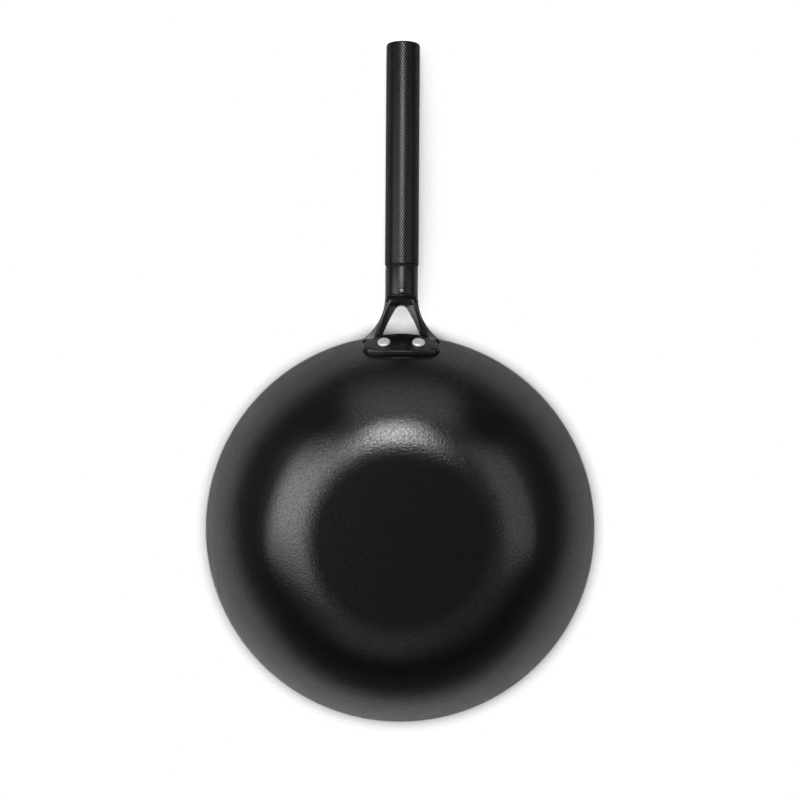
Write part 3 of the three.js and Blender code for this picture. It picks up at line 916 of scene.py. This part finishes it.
def make_board(name, material, centre, facing, up, size, hole_up=0, hole_radius=0):
    """A flat square board whose front faces one way. Where the hole has a radius, a round hole is cut
    that far up from the board's middle."""
    bm = bmesh.new()
    bmesh.ops.create_grid(bm, x_segments=1, y_segments=1, size=size / 2)
    if hole_radius:
        bmesh.ops.delete(bm, geom=bm.faces[:], context="FACES_ONLY")
        place = Matrix.Translation((0, hole_up, 0))
        bmesh.ops.create_circle(bm, segments=TURNED_STEPS, radius=hole_radius, matrix=place)
        bmesh.ops.triangle_fill(bm, use_beauty=True, edges=bm.edges[:], normal=(0, 0, 1))
    z = Vector(facing).normalized()
    x = Vector(up).cross(z).normalized()
    turn = Matrix((x, z.cross(x), z)).transposed().to_4x4()
    board = as_object(bm, name, Matrix.Translation(centre) @ turn)
    board.data.materials.append(material)


def make_lamp(name, place, target, width, height, radiance):
    """A white softbox of that size in millimetres that shines at a point, with that brightness."""
    data = bpy.data.lights.new(name, "AREA")
    data.shape = "RECTANGLE"
    data.size, data.size_y = width * MM, height * MM
    data.energy = radiance * math.pi * width * height * MM * MM
    made = bpy.data.objects.new(name, data)
    bpy.context.collection.objects.link(made)
    aim = Vector(target) - Vector(place)
    made.location = Vector(place) * MM
    made.rotation_mode = "QUATERNION"
    made.rotation_quaternion = aim.to_track_quat("-Z", "Y")
    made.visible_camera = False


enamel = satin_black_enamel()
paint = black_stove_paint("semi-gloss black paint", 0.26, 1.45)
satin_paint = black_stove_paint("satin black paint", 0.33, 1.34)
anodised = black_anodised_aluminium("black anodised aluminium", "#1c1c1e", 0.5)
# Lighter knurl tips: partly burnish wear, partly a painted glint
burnished_and_glint = black_anodised_aluminium("burnished black aluminium", "#424244", 0.38)
steel = satin_steel()
fibre = black_fibre()

fit(make_bowl(), "bowl", [enamel])
fit(make_bracket(), "bracket", [paint], smooth=math.pi)
fit(make_rivet("left_rivet", -1), "rivet_left", [steel])
fit(make_rivet("right_rivet", 1), "rivet_right", [steel])
fit(make_collar(), "collar", [satin_paint])
fit(make_pin(), "collar_pin", [paint])
fit(make_washer(), "heat_washer", [fibre])
fit(make_grip(), "grip_tube", [burnished_and_glint, anodised], smooth=0)
fit(make_plug(), "end_plug", [anodised])
fit(make_bolt(), "tie_bolt", [steel])

# The table that the wok lies on upside down: it runs just behind the far edge of the rim and the end
# of the grip, and is open under the bowl
TABLE_SIZE = 660
TABLE_AHEAD = 245
TABLE_GAP = 2.5
TABLE_HOLE = 147
grip_top = handle_frame @ Vector((0, GRIP_END, GRIP_RADIUS))
far_rim = Vector((0, -RIM_RADIUS, BOWL_HEIGHT + WALL * math.cos(rim_slope)))
tilt = math.atan2(grip_top.z - far_rim.z, grip_top.y - far_rim.y)
down = Vector((0, math.sin(tilt), -math.cos(tilt)))
along_table = Vector((0, math.cos(tilt), math.sin(tilt)))
table_middle = far_rim + along_table * TABLE_AHEAD - down * TABLE_GAP
bowl_up = RIM_RADIUS * math.cos(tilt) - TABLE_AHEAD
# The camera sees the table only in an oval along the handle, lit a little below white. That oval is a
# painted grey band on top of the lamps' real shadow, and its fade sets where the handle's shadow ends
table = white_board(
    "white table board",
    "#c0c0c0",
    lift=0.33,
    mirrored=1,
    reach=32,
    fade=13,
    middle=280,
    slimness=0.2,
)
make_board(
    "white_table", table, table_middle, down, along_table, TABLE_SIZE, bowl_up, TABLE_HOLE
)

# The floor under the upright wok
FLOOR_SIZE = 12000
FLOOR_DROP = 0.5
floor = white_board("white floor board", "#d4d4d4", lift=0.35)
make_board("floor", floor, (0, 0, -FLOOR_DROP), (0, 0, 1), (0, 1, 0), FLOOR_SIZE)

# A grey sheet just behind the rim, lifted to white by its glow. Close round the rim the glow dims by
# how much of the wok is near: a painted contact shadow added to the lamps' real shadow on it
SHEET_REACH = 161
sheet = white_board("white sheet", "#787878", lift=0.88, reach=SHEET_REACH, fade=11, nook_shadow=True)
make_board("rim_shadow_sheet", sheet, (0, 0, BOWL_HEIGHT + WALL), (0, 0, -1), (0, 1, 0), 2 * SHEET_REACH)

# Camera over the table, square to it, with the rim's middle at its pixel
right, up = Vector((-1, 0, 0)), along_table
forward = -down
distance = FOCAL_PIXELS * RIM_RADIUS / RIM_PIXELS
cos_roll, sin_roll = math.cos(CAMERA_ROLL), math.sin(CAMERA_ROLL)
image_up = up * cos_roll - right * sin_roll
image_right = right * cos_roll + up * sin_roll
across = (RIM_CENTRE_PIXEL[0] - IMAGE_WIDTH / 2) * distance / FOCAL_PIXELS
above = (IMAGE_WIDTH / 2 - RIM_CENTRE_PIXEL[1]) * distance / FOCAL_PIXELS
rim_middle = Vector((0, 0, BOWL_HEIGHT))
eye = rim_middle - image_right * across - image_up * above - forward * distance
camera_data = bpy.data.cameras.new("camera")
camera_data.sensor_width = SENSOR
camera_data.lens = SENSOR * FOCAL_PIXELS / IMAGE_WIDTH
camera = bpy.data.objects.new("camera", camera_data)
camera.matrix_world = Matrix.Translation(eye * MM) @ Matrix(
    (image_right, image_up, -forward)
).transposed().to_4x4()
bpy.context.collection.objects.link(camera)
bpy.context.scene.camera = camera

# Softboxes on the camera's side of the table: place, what each shines at, size and brightness
make_lamp("top_softbox", (34, 528, -776), (4, 79, 3), 335, 400, 14.2)
make_lamp("top_spill", (-20, 928, -339), (0, 99, 13), 900, 580, 1.0)
make_lamp("left_softbox", (510, 116, -473), (77, 31, 4), 400, 470, 2.5)
make_lamp("left_bounce", (545, 123, -512), (77, 31, 4), 800, 800, 2.05)
make_lamp("right_card", (-602, 130, -389), (-87, 35, 6), 680, 520, 0.98)
make_lamp("low_card", (150, -684, -658), (11, -77, 3), 550, 510, 0.2)

# Softbox over the upright wok
make_lamp("overhead_softbox", (-700, -500, 1500), (0, 60, 40), 900, 900, 3.0)

# Room, as (height, shade) steps from straight below to straight above: dark at the bottom, dim round
# it, dark at the horizon and white overhead. The camera itself sees white.
ROOM = (
    (0, 0),
    (0.004, 0.01),
    (0.02, 0.15),
    (0.04, 0.28),
    (0.08, 0.33),
    (0.15, 0.25),
    (0.24, 0.12),
    (0.34, 0.04),
    (0.62, 0.05),
    (0.85, 1.0),
)
world = bpy.data.worlds.new("studio")
bpy.context.scene.world = world
world.use_nodes = True
sky = world.node_tree
sky.nodes.clear()
ray = add(sky, "ShaderNodeLightPath")
around = add(sky, "ShaderNodeTexCoord").outputs["Generated"]
way = add(sky, "ShaderNodeSeparateXYZ", None, {0: around})
height = add(sky, "ShaderNodeMapRange", {"From Min": -1.0}, {"Value": way.outputs["Z"]})
room = add(sky, "ShaderNodeValToRGB", None, {"Fac": height.outputs["Result"]})
stops = room.color_ramp.elements
for _ in ROOM[2:]:
    stops.new(1)
for stop, (place, shade) in zip(stops, ROOM):
    stop.position = place
    stop.color = (shade, shade, shade, 1)
level = add(
    sky,
    "ShaderNodeMath",
    None,
    {0: room.outputs["Color"], 1: ray.outputs["Is Camera Ray"]},
    operation="MAXIMUM",
)
glow = add(
    sky,
    "ShaderNodeBackground",
    {"Color": linear("#ffffff")},
    {"Strength": level.outputs["Value"]},
)
add(sky, "ShaderNodeOutputWorld", None, {"Surface": glow.outputs["Background"]})

bpy.context.scene.view_settings.view_transform = "Standard"
